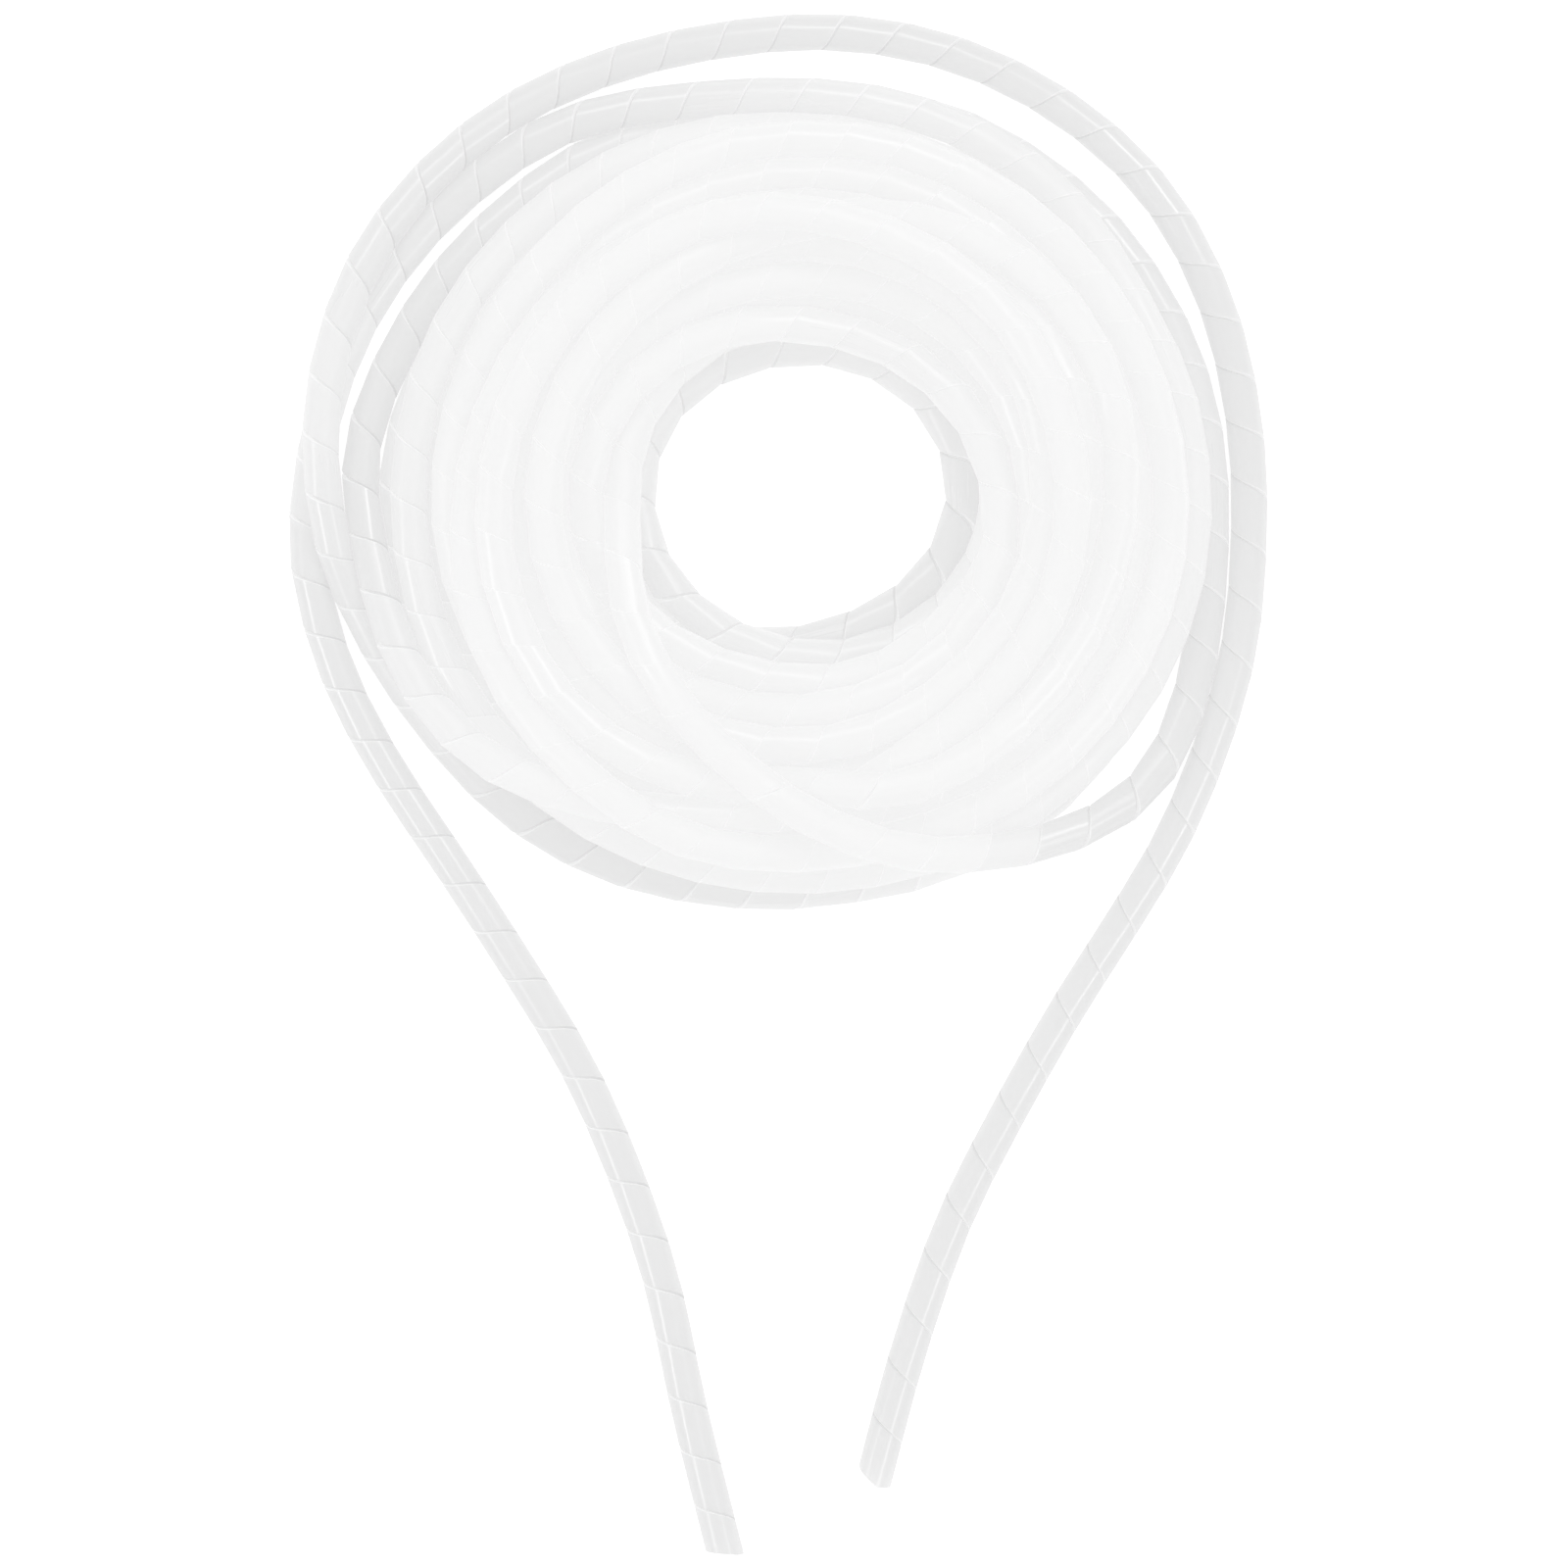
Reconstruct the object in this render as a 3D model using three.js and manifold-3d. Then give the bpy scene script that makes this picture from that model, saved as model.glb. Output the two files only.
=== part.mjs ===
// A loose coil of spiral cable wrap: one length of thin-walled plastic tube, slit along a helix.
// The turns are wound into a low ring, and the first and last stretches lie drawn out from it.
// Millimetres, +Z up. The floor is z = 0, and the origin is below the middle of the whole coil.
import * as THREE from "three";
import { mergeVertices } from "three/addons/utils/BufferGeometryUtils.js";
import Module from "manifold-3d";

// The tube
const tubeDiameter = 8;
const tubeBore = 6;
const boreDepth = 25; // how far each cut end is left hollow

// The ring of wound turns
const holeRadius = 31.3; // from the ring's axis to the innermost turn
const ringX = 4.9;
const ringY = 61.6;
const bottomRowTurns = 7;
const rows = 4; // each row holds one turn less than the row below it
const turnSpace = 0.05; // between neighbouring turns

// How finely the solids are faceted
const tubeSides = 8;
const facetsAround = 40;
const facetAngle = THREE.MathUtils.degToRad(40); // around one turn's own section
const diametersPerStep = 3; // along a drawn-out stretch

const tubeRadius = tubeDiameter / 2;
const turnPitch = tubeDiameter + turnSpace;
const rowRise = turnPitch * Math.sin(Math.PI / 3);

// The stretches that lie outside the ring, as points x, y, z on the tube's centre line with z
// counted in tube radii above the floor. Each begins at its cut end or deep in the ring.
// The left end passes below the right one, then climbs onto the ring's outer turns.
const leftStretch = [
  [-12, -169, 1],
  [-20, -137, 1],
  [-26, -109, 1],
  [-35, -83, 1],
  [-45, -61, 1],
  [-59, -38, 1],
  [-72, -18, 1],
  [-86, 3, 1],
  [-97, 24, 1],
  [-103, 46, 1],
  [-103, 64, 1],
  [-100, 82, 1],
  [-93, 101, 1],
  [-81, 119, 1],
  [-65, 134, 1],
  [-46, 145, 1.7],
  [-20, 150, 2.4],
  [10, 151, 2.9],
  [35, 146, 3.1],
  [58, 132, 3.5],
  [72, 113, 4.1],
  [79, 90, 4.2],
  [76, 66, 3.4],
  [66, 46, 2.5],
];

// The right end makes the widest loop, crosses above the left one and closes along the bottom.
const rightStretch = [
  [21, -152, 1],
  [28, -126, 1],
  [38, -97, 1],
  [50, -73, 1],
  [63, -50, 1],
  [77, -28, 1],
  [87, -11, 1],
  [96, 11, 1],
  [101.5, 32, 1],
  [103.7, 55, 1],
  [103, 77, 1],
  [98, 102, 1],
  [88, 124, 1],
  [75, 140, 1],
  [56, 153.5, 1],
  [34, 162, 1],
  [10, 165.5, 1],
  [-14, 163.5, 1],
  [-37, 158, 1],
  [-58, 148.5, 1.2],
  [-75, 135, 1.8],
  [-88.5, 118, 2.4],
  [-97, 98, 2.8],
  [-100.5, 78, 2.9],
  [-99, 57, 2.4],
  [-92, 38, 1.6],
  [-83, 22, 1.2],
  [-67, 2, 1],
  [-51, -11, 1],
  [-30, -20, 1],
  [-5, -23, 1],
  [20, -20, 1],
  [40, -6, 1.6],
  [48, 14, 2.4],
];

// One wide turn leaves the ring's top at the right and crosses it to the lower left. It comes back
// along the bottom, climbs over its own start and goes down into the hole at the left.
const looseTurn = [
  [63.7, 60.5, 4.6],
  [62.2, 49.7, 5.4],
  [57.2, 37.8, 6.2],
  [48.5, 27, 6.6],
  [36.6, 16.9, 6.6],
  [18.3, 5.4, 6.2],
  [1, -1.7, 5.6],
  [-16.3, -4.5, 5],
  [-32.5, -4.2, 4.7],
  [-46.6, -1.7, 4.6],
  [-59.6, 4, 4.6],
  [-70.4, 11.8, 4.4],
  [-79, 21.5, 3.9],
  [-86, 35, 3.2],
  [-91.5, 53, 2.5],
  [-92, 73, 1.8],
  [-86, 91, 1.3],
  [-74, 111, 1],
  [-57, 128, 1],
  [-38, 140, 1],
  [-10, 147, 1],
  [18, 149, 1],
  [36, 147, 1],
  [57.5, 137, 1],
  [75, 121, 1],
  [88, 99, 1],
  [96, 78, 1],
  [97.8, 58, 1],
  [95, 35, 1.4],
  [89, 14, 2],
  [79, -2, 2.8],
  [62, -11.5, 4],
  [45, -15, 5.3],
  [28, -14.7, 6.5],
  [16.1, -11.2, 7.3],
  [5.3, -6.1, 7.9],
  [-5.5, 1.1, 8.1],
  [-15.2, 9.3, 7.6],
  [-23.9, 19.5, 6.9],
  [-30.4, 31.3, 6],
  [-33.6, 43.2, 5.2],
  [-34.1, 58, 4.3],
  [-33.3, 70, 3.7],
  [-29.5, 82, 3.2],
  [-22, 93, 2.8],
  [-12, 101.5, 2.6],
  [-2, 107, 2.5],
];

const wasm = await Module();
wasm.setup();

// A closed three.js geometry as a solid that can be joined and cut.
function solidOf(geometry) {
  geometry.deleteAttribute("normal");
  geometry.deleteAttribute("uv");
  const merged = mergeVertices(geometry, 1e-3);
  return new wasm.Manifold(
    new wasm.Mesh({
      numProp: 3,
      vertProperties: merged.attributes.position.array,
      triVerts: new Uint32Array(merged.index.array),
    }),
  );
}

// A joined solid as a three.js geometry, shaded with flat facets.
function geometryOf(solid) {
  const mesh = solid.getMesh();
  const geometry = new THREE.BufferGeometry();
  geometry.setAttribute("position", new THREE.BufferAttribute(mesh.vertProperties, 3));
  geometry.setIndex(new THREE.BufferAttribute(mesh.triVerts, 1));
  const faceted = geometry.toNonIndexed();
  faceted.computeVertexNormals();
  return faceted;
}

// The centres of the turns that show on the ring's surface, walked once round its section from
// the bottom row's innermost turn: out along the bottom, up the outside, back over the top and
// down the inside.
function surfaceTurns() {
  const centre = (row, place) =>
    new THREE.Vector2(
      holeRadius + tubeRadius + (place + row / 2) * turnPitch,
      tubeRadius + row * rowRise,
    );
  const turns = [];
  for (let place = 0; place < bottomRowTurns; place += 1) turns.push(centre(0, place));
  for (let row = 1; row < rows; row += 1) turns.push(centre(row, bottomRowTurns - 1 - row));
  const topRow = rows - 1;
  for (let place = bottomRowTurns - 2 - topRow; place >= 0; place -= 1) {
    turns.push(centre(topRow, place));
  }
  for (let row = topRow - 1; row > 0; row -= 1) turns.push(centre(row, 0));
  return turns;
}

// The ring's section: around each surface turn an arc that reaches 60 degrees past the outward
// normals of its two neighbours, in facets that touch the turn's true circle.
function ringSection() {
  const turns = surfaceTurns();
  const reach = Math.PI / 3;
  const section = [];
  turns.forEach((turn, i) => {
    const before = turns[(i + turns.length - 1) % turns.length];
    const after = turns[(i + 1) % turns.length];
    const outward = (from, to) => to.clone().sub(from).angle() - Math.PI / 2;
    const start = outward(before, turn) - reach;
    let end = outward(turn, after) + reach;
    while (end < start) end += 2 * Math.PI;
    while (end - start > 2 * Math.PI) end -= 2 * Math.PI;
    const facets = Math.max(1, Math.round((end - start) / facetAngle));
    const step = (end - start) / facets;
    const cornerRadius = tubeRadius / Math.cos(step / 2);
    for (let k = 0; k <= facets; k += 1) {
      const angle = start + k * step;
      section.push(
        new THREE.Vector2(
          turn.x + cornerRadius * Math.cos(angle),
          turn.y + cornerRadius * Math.sin(angle),
        ),
      );
    }
  });
  section.push(section[0].clone());
  return section;
}

// The ring stands for the wound turns: their outer shape turned once round the hole.
function ringSolid() {
  const ring = new THREE.LatheGeometry(ringSection(), facetsAround);
  ring.rotateX(Math.PI / 2);
  ring.translate(ringX, ringY, 0);
  return solidOf(ring);
}

// A regular polygon whose flat sides touch the circle, one of them facing straight down.
function roundSection(radius) {
  const cornerRadius = radius / Math.cos(Math.PI / tubeSides);
  const corners = [];
  for (let i = 0; i < tubeSides; i += 1) {
    const angle = ((i + 0.5) / tubeSides) * 2 * Math.PI;
    corners.push(
      new THREE.Vector2(cornerRadius * Math.cos(angle), cornerRadius * Math.sin(angle)),
    );
  }
  return new THREE.Shape(corners);
}

// A smooth line for tube lying on a floor: it comes no lower than the floor lets it, and its
// section never rolls, so that one flat of the tube keeps facing down.
class LyingCurve extends THREE.CatmullRomCurve3 {
  getPoint(t, target) {
    const point = super.getPoint(t, target);
    point.z = Math.max(point.z, tubeRadius);
    return point;
  }

  computeFrenetFrames(segments) {
    const up = new THREE.Vector3(0, 0, 1);
    const tangents = [];
    const normals = [];
    const binormals = [];
    for (let i = 0; i <= segments; i += 1) {
      const tangent = this.getTangentAt(i / segments);
      const binormal = new THREE.Vector3().crossVectors(tangent, up).normalize();
      tangents.push(tangent);
      binormals.push(binormal);
      normals.push(new THREE.Vector3().crossVectors(binormal, tangent));
    }
    return { tangents, normals, binormals };
  }
}

function centreLine(points) {
  return new LyingCurve(
    points.map(([x, y, radii]) => new THREE.Vector3(x, y, radii * tubeRadius)),
    false,
    "centripetal",
  );
}

function tubeAlong(path, radius, steps) {
  return solidOf(
    new THREE.ExtrudeGeometry(roundSection(radius), { steps, extrudePath: path }),
  );
}

function stretchSolid(points) {
  const path = centreLine(points);
  const steps = Math.round(path.getLength() / (diametersPerStep * tubeDiameter));
  return tubeAlong(path, tubeRadius, steps);
}

// The hollow at a cut end: a straight bore from just outside the end face into the tube.
function endBore(points) {
  const path = centreLine(points);
  const end = path.getPointAt(0);
  const inward = path.getTangentAt(0);
  const mouth = end.clone().addScaledVector(inward, -1);
  const bottom = end.clone().addScaledVector(inward, boreDepth);
  return tubeAlong(new THREE.LineCurve3(mouth, bottom), tubeBore / 2, 1);
}

const wrapSolid = ringSolid()
  .add(stretchSolid(leftStretch))
  .add(stretchSolid(rightStretch))
  .add(stretchSolid(looseTurn))
  .subtract(endBore(leftStretch))
  .subtract(endBore(rightStretch));

const naturalPolyethylene = new THREE.MeshStandardMaterial({
  color: 0xececec,
  roughness: 0.35,
  metalness: 0,
});

const spiralWrap = new THREE.Mesh(geometryOf(wrapSolid), naturalPolyethylene);
spiralWrap.name = "spiral_wrap";

const cableWrap = new THREE.Group();
cableWrap.add(spiralWrap);

export default cableWrap;
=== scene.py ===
# %% [markdown]
# # A loose coil of spiral cable wrap
# Spiral wrap is a thin plastic tube that has been slit along a helix, so that it opens and winds
# around a bundle of cables. This scene dresses a imported CAD model of one 10 m length of it: the
# CAD holds the size and place, and everything seen in the picture is made here.
#
# The first cell loads that model. The finished piece has to stay in it.

# %% Load the CAD model
import math
import bpy
import numpy as np
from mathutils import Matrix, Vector
from mathutils.kdtree import KDTree


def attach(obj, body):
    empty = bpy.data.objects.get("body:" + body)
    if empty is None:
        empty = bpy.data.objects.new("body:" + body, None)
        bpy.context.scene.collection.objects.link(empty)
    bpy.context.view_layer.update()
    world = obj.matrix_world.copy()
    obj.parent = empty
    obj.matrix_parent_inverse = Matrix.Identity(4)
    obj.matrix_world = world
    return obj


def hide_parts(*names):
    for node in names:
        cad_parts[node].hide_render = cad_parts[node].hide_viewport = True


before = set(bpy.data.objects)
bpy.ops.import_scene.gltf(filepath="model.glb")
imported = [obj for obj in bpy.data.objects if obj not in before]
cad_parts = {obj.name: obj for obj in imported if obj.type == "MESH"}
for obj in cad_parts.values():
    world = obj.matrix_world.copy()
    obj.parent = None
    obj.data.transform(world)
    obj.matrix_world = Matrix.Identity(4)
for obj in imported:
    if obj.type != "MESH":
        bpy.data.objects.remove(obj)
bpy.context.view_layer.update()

# %% [markdown]
# ## The camera
# The photograph looks straight down on the coil from far away, so a long lens stands high above
# the floor. A camera with no rotation looks down with +Y at the top of the picture, which is what
# is needed. The field of view is the photograph's 1600 pixels at the scale that makes the tube
# 8 mm wide.

# %% Camera
MM = 0.001
TUBE_DIAMETER = 8 * MM
TUBE_RADIUS = TUBE_DIAMETER / 2
TUBE_PIXELS = 37
PICTURE_PIXELS = 1600
PIXEL = TUBE_DIAMETER / TUBE_PIXELS
PICTURE_WIDTH = PICTURE_PIXELS * PIXEL
PICTURE_CENTRE = (1.0 * MM, 0.0)

camera_data = bpy.data.cameras.new("camera")
camera_data.sensor_width = 36
camera_data.lens = 150
camera_height = PICTURE_WIDTH * camera_data.lens / camera_data.sensor_width
camera = bpy.data.objects.new("camera", camera_data)
camera.location = (*PICTURE_CENTRE, camera_height)
bpy.context.collection.objects.link(camera)
bpy.context.scene.camera = camera
print("the camera stands", round(camera_height, 3), "m above the floor")

# %% [markdown]
# ## Where the tube lies
# The whole article is one continuous line about 10 m long, so its centre line comes first and the
# plastic is added around it later. Three stretches lie outside the ring of wound turns and show
# plainly: the left end, the right end, and one loose turn. Their points were chosen from the
# photograph, as in the CAD. Each is x and y in metres and a height counted in tube radii, so
# that 1 lies on the floor and 3 lies on top of another strand. The heights are only a start: the
# line settles onto itself further down.

# %% Points of the drawn-out stretches
LEFT_STRETCH = [
    (-0.012, -0.169, 1), (-0.020, -0.137, 1), (-0.026, -0.109, 1), (-0.035, -0.083, 1),
    (-0.045, -0.061, 1), (-0.059, -0.038, 1), (-0.072, -0.018, 1), (-0.086, 0.003, 1),
    (-0.097, 0.024, 1), (-0.103, 0.046, 1), (-0.103, 0.064, 1), (-0.100, 0.082, 1),
    (-0.093, 0.101, 1), (-0.081, 0.119, 1), (-0.065, 0.134, 1), (-0.046, 0.145, 2),
    (-0.0198, 0.1494, 3), (0.010, 0.1503, 3), (0.0347, 0.1453, 3), (0.058, 0.132, 3),
    (0.0728, 0.1137, 3), (0.0846, 0.0920, 3),
]
RIGHT_STRETCH = [
    (0.0204, -0.1544, 1), (0.028, -0.126, 1), (0.038, -0.097, 1), (0.050, -0.073, 1),
    (0.063, -0.050, 1), (0.077, -0.028, 1), (0.087, -0.011, 1), (0.096, 0.011, 1),
    (0.1015, 0.032, 1), (0.1033, 0.055, 1), (0.1026, 0.077, 1), (0.0975, 0.1018, 1),
    (0.0875, 0.1236, 1), (0.0744, 0.1394, 1), (0.0557, 0.1530, 1), (0.034, 0.162, 1),
    (0.010, 0.1655, 1), (-0.014, 0.1635, 1), (-0.037, 0.158, 1), (-0.058, 0.1485, 1.2),
    (-0.075, 0.135, 2.2), (-0.0885, 0.118, 3), (-0.097, 0.098, 3), (-0.1005, 0.078, 3),
    (-0.099, 0.057, 2.7), (-0.092, 0.038, 1.6), (-0.083, 0.022, 1), (-0.067, 0.002, 1),
    (-0.051, -0.011, 1), (-0.030, -0.020, 1), (-0.005, -0.023, 1), (0.020, -0.020, 1),
]
LOOSE_TURN = [
    (0.0637, 0.0605, 9), (0.0622, 0.0497, 9), (0.0572, 0.0378, 9), (0.0485, 0.0270, 9),
    (0.0366, 0.0169, 9), (0.0183, 0.0054, 8.6), (0.0010, -0.0017, 8), (-0.0163, -0.0045, 7.4),
    (-0.0325, -0.0042, 6.8), (-0.0466, -0.0017, 6), (-0.0596, 0.0040, 5), (-0.0704, 0.0118, 4.4),
    (-0.0790, 0.0215, 4), (-0.0860, 0.035, 3.6), (-0.0915, 0.053, 3.2), (-0.092, 0.073, 3),
    (-0.086, 0.091, 3), (-0.074, 0.111, 2.6), (-0.057, 0.128, 2.2), (-0.038, 0.140, 1.4),
    (-0.010, 0.147, 1), (0.018, 0.1485, 1), (0.0357, 0.1462, 1), (0.0564, 0.1355, 1),
    (0.0738, 0.120, 1), (0.0872, 0.0986, 1), (0.0936, 0.0776, 1), (0.0950, 0.058, 1),
    (0.0935, 0.035, 1), (0.0887, 0.014, 1), (0.079, -0.002, 1), (0.062, -0.0115, 2),
    (0.045, -0.0150, 4), (0.028, -0.0147, 6), (0.0161, -0.0112, 7.4), (0.0053, -0.0061, 9),
    (-0.0055, 0.0011, 9.6), (-0.0152, 0.0093, 9.4), (-0.0239, 0.0195, 9), (-0.0304, 0.0313, 8.6),
    (-0.0336, 0.0432, 8), (-0.0341, 0.0580, 7),
]

# %% [markdown]
# A smooth line through chosen points could be a Blender curve object, but its points are needed as
# numbers, so a Catmull-Rom spline is worked out here. Its knots are spaced by the square root of
# the distances, which keeps it from overshooting where points lie unevenly. `evenly` then walks
# the line and sets points an equal distance apart.

# %% Smooth lines with evenly spaced points
ROUTE_STEP = TUBE_DIAMETER / 2


def evenly(line, step):
    """The same line with points one step apart, measured along it."""
    lengths = np.linalg.norm(np.diff(line, axis=0), axis=1)
    walked = np.concatenate([[0], np.cumsum(lengths)])
    count = max(2, round(walked[-1] / step) + 1)
    stops = np.linspace(0, walked[-1], count)
    return np.column_stack([np.interp(stops, walked, line[:, k]) for k in range(3)])


def smooth_line(points, step, knots_between=12):
    """A Catmull-Rom line through the points, evenly spaced."""
    p = np.array(points, float)
    gaps = np.linalg.norm(np.diff(p, axis=0), axis=1) ** 0.5
    knots = np.concatenate([[0], np.cumsum(gaps)])
    p = np.vstack([2 * p[0] - p[1], p, 2 * p[-1] - p[-2]])
    knots = np.concatenate([[-gaps[0]], knots, [knots[-1] + gaps[-1]]])
    slopes = (p[2:] - p[:-2]) / (knots[2:] - knots[:-2])[:, None]
    spans = np.diff(knots)[1:-1, None, None]
    u = (np.arange(knots_between) / knots_between)[None, :, None]
    a, b = p[1:-2, None], p[2:-1, None]
    line = (
        (2 * u**3 - 3 * u**2 + 1) * a
        + (u**3 - 2 * u**2 + u) * spans * slopes[:-1, None]
        + (3 * u**2 - 2 * u**3) * b
        + (u**3 - u**2) * spans * slopes[1:, None]
    )
    return evenly(np.vstack([line.reshape(-1, 3), p[-2]]), step)


def stretch_line(points):
    """A drawn-out stretch in metres, from its points with heights in tube radii."""
    scaled = [(x, y, max(1, radii) * TUBE_RADIUS) for x, y, radii in points]
    return smooth_line(scaled, ROUTE_STEP)


left_line = stretch_line(LEFT_STRETCH)
right_line = stretch_line(RIGHT_STRETCH)
loose_line = stretch_line(LOOSE_TURN)
print("points on the three stretches:", len(left_line), len(right_line), len(loose_line))

# %% [markdown]
# ## The wound turns
# The turns between those stretches are worked out by a loop round the ring. A winding plan says
# how far from the ring's middle, and how high, the tube lies after so many turns. It runs inward
# along the second row, outward along the third, inward over the top, down the inside of the hole
# and outward along the floor. Turns laid by hand are never true circles, so three slow waves let
# each one wander a little and cross its neighbours at a shallow angle.

# %% Winding plans
RING_CENTRE = np.array([0.0049, 0.0616])
HOLE_CENTRE = RING_CENTRE + (0.0010, 0.0030)
HOLE_STRETCH = np.array([1.06, 0.965])
# turns wound so far, distance from the ring's middle in metres, height in tube radii
FIRST_WINDING = [
    (0.0, 0.0853, 3.0), (0.06, 0.0862, 3.0), (0.12, 0.0858, 3.0), (0.18, 0.0835, 3.0),
    (0.31, 0.0800, 3.0), (0.45, 0.0850, 2.8), (0.62, 0.0868, 2.8),
    (0.75, 0.0835, 3.0), (1.0, 0.0765, 3.0), (5.0, 0.0458, 3.0), (5.5, 0.0445, 4.0),
    (5.9, 0.0460, 5.2), (9.9, 0.0760, 5.2), (10.1, 0.0745, 6.6), (10.4, 0.0710, 7.4),
    (12.5, 0.0520, 7.4), (12.8, 0.0590, 8.6), (13.1, 0.0650, 9.0), (13.5, 0.0672, 9.0),
    (13.72, 0.0655, 9.2), (13.93, 0.0603, 9.2), (14.07, 0.0588, 9.0),
]
SECOND_WINDING = [
    (0.0, 0.0380, 7.0), (0.15, 0.0388, 5.2), (0.30, 0.0400, 4.0), (0.5, 0.0400, 3.4),
    (0.8, 0.0378, 2.6), (1.0, 0.0354, 1.4), (1.2, 0.0348, 1.0), (1.72, 0.0337, 1.0),
    (2.0, 0.0436, 1.0), (2.3, 0.0458, 1.0), (5.749, 0.0755, 1.0),
    (5.842, 0.0800, 1.0), (5.917, 0.0840, 1.0), (5.961, 0.0875, 1.0), (6.028, 0.0912, 1.0),
    (6.083, 0.0912, 1.0), (6.134, 0.0878, 1.0), (6.176, 0.0843, 1.0), (6.278, 0.0815, 1.0),
    (6.528, 0.0845, 1.0), (6.7483, 0.0832, 1.0),
]
WAVES = [(0.0016, 0.41, 1.0), (0.0014, 0.77, 2.0), (0.0008, 1.60, 3.0)]


def angle_round(centre, point, stretch=(1, 1)):
    """Clockwise from the top of the picture, in radians."""
    return math.atan2((point[0] - centre[0]) / stretch[0], (point[1] - centre[1]) / stretch[1])


def eased(values, width):
    """A running mean that rounds the corners of a stepped list."""
    weights = np.hanning(width + 2)[1:-1]
    padded = np.pad(values, width // 2, mode="edge")
    return np.convolve(padded, weights / weights.sum(), mode="valid")


def wound_line(plan, start_angle, phase):
    """The centre line that a winding plan gives, starting at an angle round the ring."""
    wound, distance, radii = np.array(plan).T
    turns = np.arange(0, wound[-1], 0.01)
    r = eased(np.interp(turns, wound, distance), 21)
    z = eased(np.interp(turns, wound, radii), 21) * TUBE_RADIUS
    angle = start_angle + 2 * math.pi * turns
    near_hole = np.clip((0.055 - r) / 0.018, 0, 1)[:, None]
    fade = np.clip(np.minimum(turns, turns[-1] - turns) / 0.3, 0, 1) * (1 - near_hole[:, 0])
    fade = fade * np.clip((0.088 - r) / 0.014, 0, 1)
    r = r + fade * sum(size * np.sin(rate * angle + k * phase) for size, rate, k in WAVES)
    centre = RING_CENTRE + near_hole * (HOLE_CENTRE - RING_CENTRE)
    stretch = 1 + near_hole * (HOLE_STRETCH - 1)
    xy = centre + r[:, None] * stretch * np.column_stack([np.sin(angle), np.cos(angle)])
    return evenly(np.column_stack([xy, z]), ROUTE_STEP)


def smoothed(values, times):
    """Each value drawn halfway to the mean of its neighbours, so many times over."""
    for _ in range(times):
        inner = 0.5 * values[1:-1] + 0.25 * (values[:-2] + values[2:])
        values = np.concatenate([values[:1], inner, values[-1:]])
    return values


first_line = wound_line(FIRST_WINDING, angle_round(RING_CENTRE, left_line[-1]), 0.3)
second_start = angle_round(HOLE_CENTRE, loose_line[-1], HOLE_STRETCH)
second_line = wound_line(SECOND_WINDING, second_start, 1.7)[1:]
lines = [left_line, first_line, loose_line, second_line, right_line[::-1]]
for before, after in zip(lines, lines[1:]):
    print("gap where two lines join, in mm:", np.round((after[0] - before[-1]) / MM, 1))
joined = np.vstack(lines)
route = smoothed(evenly(joined, ROUTE_STEP), 5)
print("the route is", round(len(route) * ROUTE_STEP, 2), "m long")

# %% [markdown]
# ## Let the coil settle
# The planned line still cuts through itself where turns cross. A rigid-body or cloth simulation
# could sort that out, but 10 m of tube is quick to settle with a few lines of numpy, in the way
# that games simulate ropes: let every point sink a little, push apart any two points of different
# strands that are nearer than a tube's diameter, keep all of it above the floor, and smooth what
# was moved. Repeating that a few hundred times leaves a pile in which strands rest on each other.
#
# The stretches that the photograph shows plainly are held in their places as seen from above, and
# so is the turn round the hole: the wound turns give way to them.

# %% Where the route is held
OUTMOST_TURN = (0.50, 0.92)  # metres from the left end, from and to
INMOST_TURN = (-0.10, 0.50)  # metres after the loose turn's end, from and to


def held_share(points):
    """1 where a point keeps its place seen from above, 0 where it may move, eased between."""
    loose_low = (loose_line[:, 2] < 5 * TUBE_RADIUS).astype(float)
    held = np.concatenate(
        [
            np.ones(len(left_line)),
            np.zeros(len(first_line)),
            loose_low,
            np.zeros(len(second_line)),
            np.ones(len(right_line)),
        ]
    )
    walked = np.concatenate([[0], np.cumsum(np.linalg.norm(np.diff(joined, axis=0), axis=1))])
    at = np.linspace(0, walked[-1], len(points))
    past_loose = at - walked[len(left_line) + len(first_line) + len(loose_line)]
    inmost = (past_loose > INMOST_TURN[0]) & (past_loose < INMOST_TURN[1])
    outmost = (at > OUTMOST_TURN[0]) & (at < OUTMOST_TURN[1])
    return smoothed(np.maximum(np.interp(at, walked, held), inmost | outmost), 120)


hold = held_share(route)
print("metres held:", round(hold.sum() * ROUTE_STEP, 2))

# %% Settle the route
SETTLE_STEPS = 400
SINK = 0.14 * MM
STRANDS_APART = 6


def near_pairs(points, reach):
    """Pairs of points that lie nearer than reach on different strands."""
    tree = KDTree(len(points))
    for k, point in enumerate(points):
        tree.insert(point, k)
    tree.balance()
    first, second = [], []
    for k, point in enumerate(points):
        for _, other, _ in tree.find_range(point, reach):
            if other - k > STRANDS_APART:
                first.append(k)
                second.append(other)
    return np.array(first), np.array(second)


def gathered(index, values, count):
    """The sum of the values given for each point."""
    return np.column_stack([np.bincount(index, v, count) for v in values.T])


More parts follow.
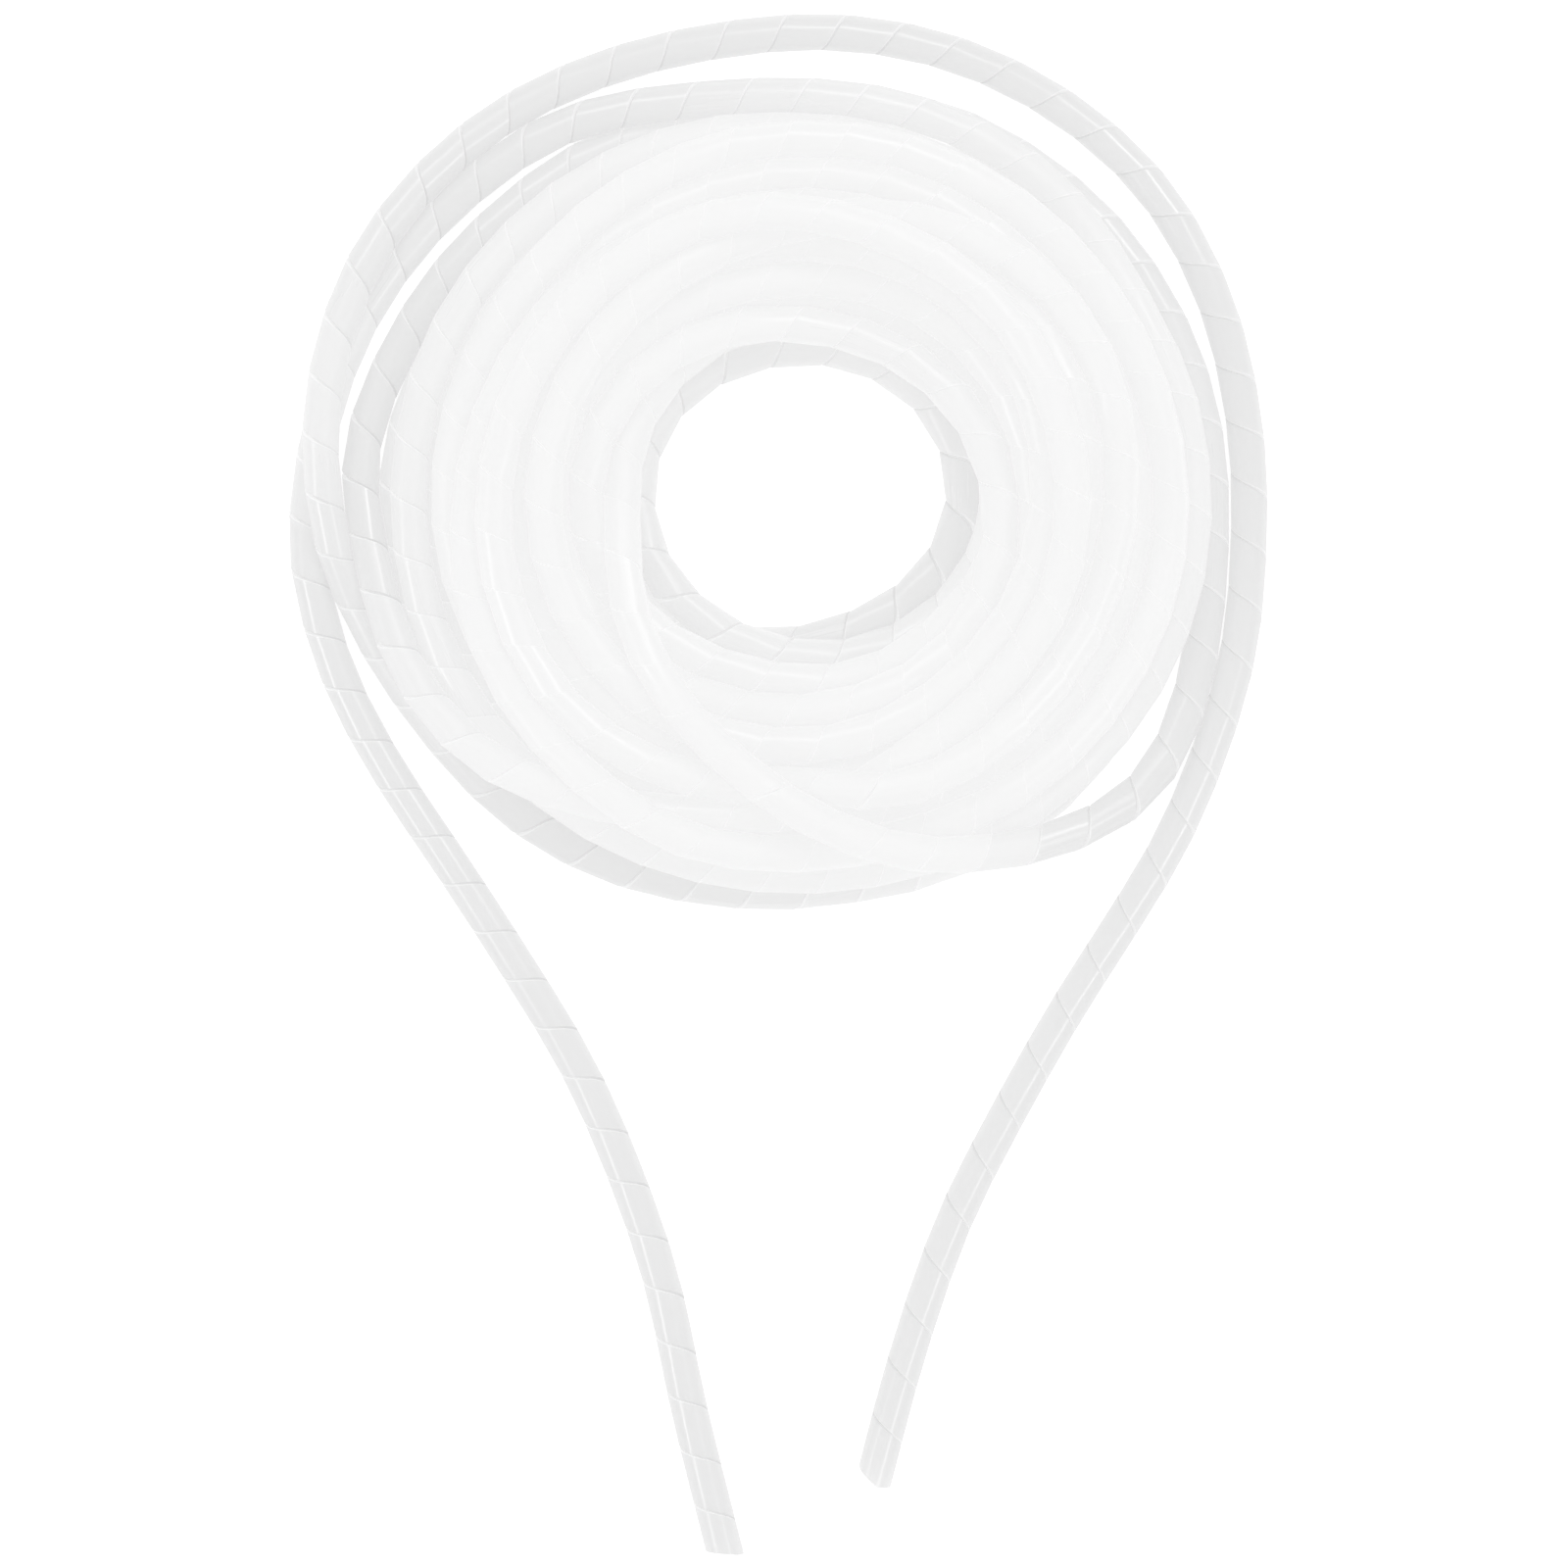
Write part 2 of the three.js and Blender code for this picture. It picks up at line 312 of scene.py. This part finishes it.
def push_apart(points, first, second):
    """Moves each overlapping pair to a tube's diameter apart, and everything above the floor."""
    apart = points[first] - points[second]
    distance = np.linalg.norm(apart, axis=1)
    hit = distance < TUBE_DIAMETER
    a, b = first[hit], second[hit]
    overlap = (TUBE_DIAMETER - distance[hit]) / np.maximum(distance[hit], 1e-6)
    push = overlap[:, None] * apart[hit]
    free_a, free_b = 1.02 - hold[a], 1.02 - hold[b]
    share = (free_a / (free_a + free_b))[:, None] * (1, 1, 0) + (0, 0, 0.5)
    count = len(points)
    moved = gathered(a, share * push, count) - gathered(b, (1 - share) * push, count)
    hits = np.bincount(a, minlength=count) + np.bincount(b, minlength=count)
    points = points + moved / np.maximum(hits, 1)[:, None] ** 0.6
    points[:, 2] = np.maximum(points[:, 2], TUBE_RADIUS)
    return points


def settle(points):
    home = points[:, :2].copy()
    keep = (0.995 - 0.15 * hold)[:, None]
    for step in range(SETTLE_STEPS):
        if step % 8 == 0:
            pairs = near_pairs(points, 1.4 * TUBE_DIAMETER)
        points[:, 2] -= SINK if step < 0.8 * SETTLE_STEPS else 0.2 * SINK
        for _ in range(2):
            points = push_apart(points, *pairs)
        points[:, :2] = home + keep * smoothed(points[:, :2] - home, 4)
        points[:, 2] = smoothed(points[:, 2], 4)
    return points


route = settle(route)
print("the pile is", round((route[:, 2].max() + TUBE_RADIUS) / MM, 1), "mm high")

# %% [markdown]
# ## The slit tube
# The real thing is one ribbon of plastic about 12 mm wide and 1 mm thick, wound into a tube. It
# could be a tube with a slit cut by a boolean, which would be slow and rough over 800 turns of
# slit. Sweeping the ribbon's own cross section along a helix gives the slit for free. The section
# stays straight along the tube, as stiff plastic does, so that where the tube bends its outside
# opens into small wedges and its outline turns into short straight facets.
#
# First the line gets a frame at every millimetre: a forward direction and two across it, carried
# along so that they never roll.

# %% A frame along the line
FINE_STEP = 1 * MM
WALL = 1 * MM
RIBBON_WIDTH = 12.35 * MM
SLIT = 0.3 * MM
END_RUN = 10 * MM


def unit(vectors):
    return vectors / np.linalg.norm(vectors, axis=-1, keepdims=True)


def carried_frame(line):
    """Forward, sideways and upward directions at each point, without roll."""
    forward = unit(np.gradient(line, axis=0))
    side = np.empty_like(forward)
    side[0] = unit(np.cross(forward[0], (0, 0, 1)))
    for k in range(1, len(line)):
        carried = side[k - 1] - forward[k] * (side[k - 1] @ forward[k])
        side[k] = carried / math.sqrt(carried @ carried)
    return forward, side, np.cross(forward, side)


centre_line = smooth_line(route, FINE_STEP, knots_between=6)
tube_length = FINE_STEP * (len(centre_line) - 1)
print("the tube is", round(tube_length, 3), "m long")

# %% [markdown]
# The slit repeats every 12.5 mm and turns to the left. The line gets a straight run-in beyond both
# ends, because the ribbon begins and finishes partway round the tube there.
#
# At the right end the last slit runs out just right of the tube's top, so that its slope shows.
# A change of pitch far too small to see, shared by nearly 800 turns, brings the slit there.

# %% Wind the helix
USUAL_PITCH = 12.5 * MM
RIGHT_OF_TOP = math.radians(16)
run_in = np.arange(END_RUN, 0, -FINE_STEP)[:, None]
start_direction = unit(centre_line[0] - centre_line[1])
end_direction = unit(centre_line[-1] - centre_line[-2])
long_line = np.vstack(
    [
        centre_line[0] + run_in * start_direction,
        centre_line,
        centre_line[-1] + run_in[::-1] * end_direction,
    ]
)
forward, side, over = carried_frame(long_line)
bend = np.gradient(forward, axis=0) / FINE_STEP
bend = np.column_stack([eased(part, 13) for part in bend.T])
along = (np.arange(len(long_line)) - len(run_in)) * FINE_STEP
top_angle = math.atan2(-over[-1, 2], side[-1, 2])
last_part = 0.5 + (top_angle + RIGHT_OF_TOP) / (2 * math.pi)
slit_turns = last_part + round(tube_length / USUAL_PITCH - last_part)
PITCH = tube_length / slit_turns
print("turns of slit:", round(slit_turns, 2), "pitch in mm:", round(PITCH / MM, 4))
print("tightest bend in mm:", round(1 / np.linalg.norm(bend, axis=1).max() / MM))

# %% Stops along the ribbon
COARSE_SIDES = 17
FINE_SIDES = 28


def helix_stops(fine_spans):
    """Helix angles of the ribbon's cross sections, closer together within the spans given."""
    angle = 2 * math.pi * (-0.5 * RIBBON_WIDTH + 0.3 * MM) / PITCH
    finish = 2 * math.pi * (tube_length - 0.5 * RIBBON_WIDTH + 4.5 * MM) / PITCH
    stops = []
    while angle < finish:
        stops.append(angle)
        at = angle * PITCH / (2 * math.pi)
        sides = FINE_SIDES if any(a <= at <= b for a, b in fine_spans) else COARSE_SIDES
        angle += 2 * math.pi / sides
    return np.array(stops + [finish])


left_length = len(left_line) * ROUTE_STEP
loose_start = left_length + len(first_line) * ROUTE_STEP
loose_end = loose_start + len(loose_line) * ROUTE_STEP
right_start = tube_length - len(right_line) * ROUTE_STEP
stops = helix_stops([(-1, left_length), (loose_start, loose_end), (right_start, tube_length + 1)])
at = stops * PITCH / (2 * math.pi)


def sampled(values):
    """A list of vectors along the line, read at the stops."""
    return np.column_stack([np.interp(at, along, part) for part in values.T])


middle, ahead = sampled(long_line), unit(sampled(forward))
out = unit(np.cos(stops)[:, None] * sampled(side) - np.sin(stops)[:, None] * sampled(over))
print("cross sections:", len(stops))

# %% [markdown]
# The plastic is milky, so how a strand looks depends on how many others lie under and over it: a
# lone strand is grey against the white floor, and a deep pile is whiter, because each layer sends
# light back. That light is painted into the colour and glow further down, from a count of the
# layers as seen from above: a strand right above or below counts as one, and a strand that
# overlaps half of the width as a half.

# %% How deep the pile is
DEEP_LAYERS = 2.2
flat_route = route * (1, 1, 0)
first, second = near_pairs(flat_route, TUBE_DIAMETER)
overlap = 1 - np.linalg.norm(flat_route[first] - flat_route[second], axis=1) / TUBE_DIAMETER
overlap = overlap * ROUTE_STEP / TUBE_DIAMETER
layers = sum(np.bincount(end, overlap, len(route)) for end in (first, second))
depth = smoothed(np.clip(layers / DEEP_LAYERS, 0, 1) ** 0.75, 12)
piled = np.interp(at, np.linspace(0, tube_length, len(route)), depth)
print("mean depth, 0 for a lone strand to 1 for a deep pile:", round(float(piled.mean()), 2))

# %% [markdown]
# On the inside of a bend the ribbon's edges butt together and can't pass through each other, so
# its half width is limited there to half of the room between one turn of the slit and the next.
# On the outside the slit opens into a small V, but soft plastic gives before it opens wide. Deep
# in the pile the turns press the slit almost shut. Both ends are cut off by hand, a little askew.

# %% Sweep the ribbon's section
EDGE_CUT = 0.16 * MM
WIDEST_NOTCH = 0.6 * MM
FIRST_CUT_SKEW = 0.34
LAST_CUT_SKEW = 0.2
open_share = 1 - 0.85 * np.clip((piled - 0.35) / 0.5, 0, 1)
edge_cut = EDGE_CUT * open_share[:, None]
spread = -PITCH * TUBE_RADIUS * np.sum(sampled(bend) * out, axis=1)
notch = np.where(spread > 0, WIDEST_NOTCH * np.tanh(spread / WIDEST_NOTCH), 0)
half = 0.5 * (PITCH + spread - open_share * (SLIT + notch))
# for each corner of the section: side, edge cuts along the tube and inward, and wall inward
SECTION = [(-1, 0, 1, 0), (-1, 1, 0, 0), (1, -1, 0, 0), (1, 0, 1, 0), (1, 0, 0, 1), (-1, 0, 0, 1)]
side_of, cut_along, cut_inward, wall_inward = np.array(SECTION, float).T
lengthways = half[:, None] * side_of + edge_cut * cut_along
radial = TUBE_RADIUS - edge_cut * cut_inward - WALL * wall_inward
sideways = TUBE_RADIUS * out[:, :1]
first_cut = -at[:, None] - FIRST_CUT_SKEW * sideways
last_cut = tube_length - at[:, None] - LAST_CUT_SKEW * sideways
reach = np.clip(lengthways, first_cut, last_cut)
corners = middle[:, None] + reach[..., None] * ahead[:, None] + radial[..., None] * out[:, None]
vertices = corners.reshape(-1, 3)
print("ribbon width from", round(2 * half.min() / MM, 2), "to", round(2 * half.max() / MM, 2), "mm")

# %% Join the sections into a mesh
count, around = len(stops), len(SECTION)
row = np.arange(count - 1)[:, None] * around
this_corner = np.arange(around)
next_corner = (this_corner + 1) % around
faces = np.stack(
    [row + this_corner, row + next_corner, row + around + next_corner, row + around + this_corner],
    axis=-1,
).reshape(-1, 4)
last_row = (count - 1) * around
caps = [list(range(around))[::-1], list(range(last_row, last_row + around))]
mesh = bpy.data.meshes.new("spiral_wrap_ribbon")
mesh.from_pydata(vertices.tolist(), [], faces.tolist() + caps)
mesh.shade_smooth()
mesh.set_sharp_from_angle(angle=math.radians(35))
wrap = bpy.data.objects.new("spiral_wrap_ribbon", mesh)
bpy.context.collection.objects.link(wrap)
print("triangles:", 2 * len(faces) + 2 * (around - 2))

# %% [markdown]
# ## What the material needs to know
# The material varies along the tube, and it can only know what the mesh tells it. Numbers for
# each vertex are kept in named attributes: how deep the pile is there, where the vertex is on the
# tube, for lines that run along it, and how near it is to the slit.

# %% Numbers carried by the mesh


def add_numbers(name, kind, field, values):
    """A named attribute with one value for each vertex."""
    attribute = mesh.attributes.new(name, kind, "POINT")
    attribute.data.foreach_set(field, np.ascontiguousarray(values, dtype=np.float32).ravel())


add_numbers("piled", "FLOAT", "value", np.repeat(piled, around))
add_numbers("across", "FLOAT", "value", (lengthways / half[:, None]))
place = np.empty((count, around, 3))
place[..., 0] = np.cos(stops)[:, None] * TUBE_RADIUS
place[..., 1] = np.sin(stops)[:, None] * TUBE_RADIUS
place[..., 2] = at[:, None] + reach
add_numbers("tube_place", "FLOAT_VECTOR", "vector", place)
names = [attribute.name for attribute in mesh.attributes if attribute.domain == "POINT"]
print("numbers for each vertex:", ", ".join(names))

# %% [markdown]
# ## A map of the ribbon
# Exports bake the finish into a picture, which needs the ribbon laid out flat. One strip 22 m long
# would waste nearly all of it, so it is cut into strips that lie side by side and fill the square.

# %% Lay the ribbon out flat
STRIPS = 29
steps_done = np.concatenate([[0], np.cumsum(np.diff(stops))])
strip_turns = steps_done[-1] / STRIPS
strip_of_row = np.minimum((steps_done[:-1] // strip_turns).astype(int), STRIPS - 1)
edge_lengths = np.array([EDGE_CUT, RIBBON_WIDTH, EDGE_CUT, WALL, RIBBON_WIDTH, WALL])
round_section = np.concatenate([[0], np.cumsum(edge_lengths)]) / edge_lengths.sum()
start_u = (steps_done[:-1] - strip_of_row * strip_turns) / strip_turns
end_u = (steps_done[1:] - strip_of_row * strip_turns) / strip_turns
u = np.stack([start_u, start_u, end_u, end_u], axis=-1)[:, None, :] * np.ones((1, around, 1))
low, high = round_section[:-1], round_section[1:]
v = np.stack([low, high, high, low], axis=-1)[None] * 0.96 + strip_of_row[:, None, None]
ribbon_map = mesh.uv_layers.new(name="OFBake")
flat = np.stack([u * 0.98 + 0.005, (v + 0.02) / STRIPS], axis=-1).reshape(-1, 2)
cap_corners = np.zeros((2 * around, 2)) + flat[0]
coordinates = np.vstack([flat, cap_corners]).astype(np.float32)
ribbon_map.data.foreach_set("uv", coordinates.ravel())
print("strips in the map:", STRIPS)

# %% [markdown]
# ## A small language for materials
# A material is a graph of nodes. Its sums are easier to read as Python expressions, so one small
# class wraps a node's output socket: `a * 0.5 + b` on two of them adds the Math nodes that work it
# out. Any other node comes from `node`, which takes its type, its settings and its inputs.

# %% Sockets that do sums
class Socket:
    def __init__(self, tree, output):
        self.tree = tree
        self.output = output

    def maths(self, operation, *values):
        return node(self.tree, "ShaderNodeMath", {"operation": operation}, dict(enumerate(values)))

    def __add__(self, other):
        return self.maths("ADD", self, other)

    def __sub__(self, other):
        return self.maths("SUBTRACT", self, other)

    def __mul__(self, other):
        return self.maths("MULTIPLY", self, other)

    def __rsub__(self, other):
        return self.maths("SUBTRACT", other, self)

    __radd__ = __add__
    __rmul__ = __mul__

    def size(self):
        return self.maths("ABSOLUTE", self)

    def between(self, low, high):
        """0 below low, 1 above high, and a smooth step between them."""
        settings = {"interpolation_type": "SMOOTHSTEP"}
        inputs = {"Value": self, "From Min": low, "From Max": high}
        return node(self.tree, "ShaderNodeMapRange", settings, inputs)


def fill(tree, socket, value):
    """Sets a socket to a value, or links it to another node's output."""
    if isinstance(value, Socket):
        tree.links.new(value.output, socket)
    else:
        socket.default_value = value


def node(tree, kind, settings, inputs, output=0):
    """Adds a node with its settings, then its inputs by name or number, and wraps an output."""
    made = tree.nodes.new(kind)
    for name, value in settings.items():
        setattr(made, name, value)
    for name, value in inputs.items():
        fill(tree, made.inputs[name], value)
    return Socket(tree, made.outputs[output])


print("socket sums ready")

# %% [markdown]
# ## The milky plastic
# Natural polyethylene has no pigment: it is cloudy, waxy and a little glossy, and its freshly cut
# edges catch the light. Glass-like transmission is slow and noisy in so deep a pile, and
# scattering below the surface leaves the gaps between strands dark. Mixing a Principled shader
# with a Translucent one, which lets light out on the far side of each thin wall, gives the even
# glow of the real thing.
#
# The colour comes first, and it is painted light as well. It is greyer where the pile is deep,
# because a painted glow set further down makes the white there, and nearly white along one edge of
# the slit, a painted highlight. Two noises drawn out along the tube add its clouds and extrusion
# lines.

# %% Helpers for the plastic
material = bpy.data.materials.new("natural_polyethylene")
material.use_nodes = True
tree = material.node_tree
shader = tree.nodes["Principled BSDF"]


def attribute(name, output):
    return node(tree, "ShaderNodeAttribute", {"attribute_name": name}, {}, output)


def mixed(factor, a, b):
    """A colour between two others."""
    return node(tree, "ShaderNodeMix", {"data_type": "RGBA"}, {0: factor, 6: a, 7: b}, 2)


def stretched_noise(scale, detail):
    """Noise over the tube, drawn out along it by the scale's last number."""
    place = attribute("tube_place", "Vector")
    drawn = node(tree, "ShaderNodeVectorMath", {"operation": "MULTIPLY"}, {0: place, 1: scale})
    inputs = {"Vector": drawn, "Scale": 1.0, "Detail": detail, "Roughness": 0.5}
    return node(tree, "ShaderNodeTexNoise", {}, inputs)


lines_along = stretched_noise((1500, 1500, 12), 2.0)
clouds = stretched_noise((180, 180, 60), 3.0)
print("material started:", material.name)

# %% Colour of the plastic
# painted light: the base colour follows the pile's depth, grey for a lone strand, greyer where the
# painted glow whitens the pile
LONE_COLOUR = (0.58, 0.58, 0.58, 1)
PILED_COLOUR = (0.42, 0.42, 0.42, 1)
SLIT_HIGHLIGHT_COLOUR = (0.98, 0.98, 0.98, 1)
pile_depth = attribute("piled", "Fac")
cloudy_depth = pile_depth + (clouds - 0.5) * 0.12 + (lines_along - 0.5) * 0.10
pile_share = cloudy_depth.between(0.0, 0.95)
milk_with_painted_depth_light = mixed(pile_share, LONE_COLOUR, PILED_COLOUR)
across = attribute("across", "Fac")
# painted highlight: one edge of the slit is made nearly white, weaker where the pile is deep
slit_highlight_edge = across.between(0.95, 0.985)
slit_highlight_share = slit_highlight_edge * (0.8 - pile_share * 0.7)
fill(tree, shader.inputs["Base Color"], mixed(slit_highlight_share, milk_with_painted_depth_light, SLIT_HIGHLIGHT_COLOUR))
print("nodes for the colour:", len(tree.nodes))

# %% [markdown]
# The surface is smooth with a soft gloss, a little uneven in the way of cooled plastic. Only a
# third of the mix is glossy, so its refractive index is set higher than the real 1.51, which
# brings the reflection of the whole back to the 4% of plastic.
#
# Blender follows light through only a few walls, and what still travels after that is lost, which
# would leave the pile's depths dark. The steady glow of light that has wandered through many walls
# is painted back as an emission, brighter where the pile is deep. Beside one edge of the slit the
# glow is dimmed, which paints a fine shade line.

# %% Surface and glow of the plastic
# painted light: an emission glow, grey on a lone strand and white where the pile is deep
LONE_GLOW = (0.75, 0.75, 0.75, 1)
PILED_GLOW = (1.0, 1.0, 1.0, 1)
SLIT_SHADE_GLOW = (0.30, 0.30, 0.30, 1)
rubbed = stretched_noise((40, 40, 12), 1.0).between(0.44, 0.56) * pile_share
uneven = clouds * 0.06 + lines_along * 0.04
fill(tree, shader.inputs["Roughness"], 0.15 + pile_share * 0.10 + rubbed * 0.35 + uneven)
relief = {"Strength": 0.25, "Distance": 0.00012, "Height": lines_along * 0.35 + clouds * 0.65}
fill(tree, shader.inputs["Normal"], node(tree, "ShaderNodeBump", {}, relief))
shader.inputs["IOR"].default_value = 2.2
even_glow = mixed(pile_share, LONE_GLOW, PILED_GLOW)
# painted shade: the glow is dimmed along the other edge of the slit, a fine dark line on lone
# strands
slit_shade = (0 - across).between(0.96, 0.99) * (0.35 - pile_share * 0.35)
fill(tree, shader.inputs["Emission Color"], mixed(slit_shade, even_glow, SLIT_SHADE_GLOW))
shader.inputs["Emission Strength"].default_value = 1.4
glow = node(tree, "ShaderNodeBsdfTranslucent", {}, {"Color": (0.50, 0.50, 0.50, 1)})
surface = Socket(tree, shader.outputs["BSDF"])
both = node(tree, "ShaderNodeMixShader", {}, {0: 0.68, 1: surface, 2: glow})
fill(tree, tree.nodes["Material Output"].inputs["Surface"], both)
mesh.materials.append(material)
print("nodes in all:", len(tree.nodes))

# %% [markdown]
# ## Floor and light
# The photograph was taken in a light tent, on white, so brightly lit that the ground has no tone
# left. A white world lights everything evenly. Five lamps add what it can't: three square ones
# beyond the coil draw streaks on the crests of strands that lie across their light, and one flat
# lamp at each side draws the fine line along the drawn-out end that lies square to it.

# %% The stage
floor_mesh = bpy.data.meshes.new("floor")
floor_mesh.from_pydata([(-3, -3, 0), (3, -3, 0), (3, 3, 0), (-3, 3, 0)], [], [(0, 1, 2, 3)])
floor = bpy.data.objects.new("floor", floor_mesh)
bpy.context.collection.objects.link(floor)
floor_material = bpy.data.materials.new("pale_floor")
floor_material.use_nodes = True
floor_shader = floor_material.node_tree.nodes["Principled BSDF"]
floor_shader.inputs["Base Color"].default_value = (0.96, 0.96, 0.96, 1)
floor_shader.inputs["Roughness"].default_value = 0.9
floor_shader.inputs["Emission Color"].default_value = (1, 1, 1, 1)
floor_shader.inputs["Emission Strength"].default_value = 0.25
floor_mesh.materials.append(floor_material)

world = bpy.data.worlds.new("world")
world.use_nodes = True
world.node_tree.nodes["Background"].inputs["Color"].default_value = (1, 1, 1, 1)
world.node_tree.nodes["Background"].inputs["Strength"].default_value = 0.88
bpy.context.scene.world = world
bpy.context.scene.view_settings.view_transform = "Standard"
print("stage ready")

# %% Lamps
SQUARE_LAMP = (0.3, 0.3)
LEFT_STRIP = (0.55, 0.2)
RIGHT_STRIP = (0.35, 0.2)
RING_TARGET = Vector((0.005, 0.06, 0.0))


def add_lamp(name, azimuth, elevation, distance, size, radiance):
    """An area lamp aimed at the ring. Azimuth is clockwise from the top of the picture."""
    data = bpy.data.lights.new(name, "AREA")
    data.shape = "RECTANGLE"
    data.size, data.size_y = size
    data.energy = radiance * math.pi * size[0] * size[1]
    lamp = bpy.data.objects.new(name, data)
    a, e = math.radians(azimuth), math.radians(elevation)
    away = Vector((math.sin(a) * math.cos(e), math.cos(a) * math.cos(e), math.sin(e)))
    lamp.location = RING_TARGET + distance * away
    lamp.rotation_euler = away.to_track_quat("Z", "Y").to_euler()
    bpy.context.collection.objects.link(lamp)


add_lamp("right_lamp", 45, 52, 1.3, SQUARE_LAMP, 5)
add_lamp("left_lamp", 328, 52, 1.3, SQUARE_LAMP, 3)
add_lamp("top_lamp", 8, 58, 1.3, SQUARE_LAMP, 3.5)
add_lamp("left_strip", 250, 39, 1.3, LEFT_STRIP, 5)
add_lamp("right_strip", 118, 52, 1.3, RIGHT_STRIP, 5)
print("lamps:", len(bpy.data.lights))

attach(wrap, "root")
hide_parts("spiral_wrap")
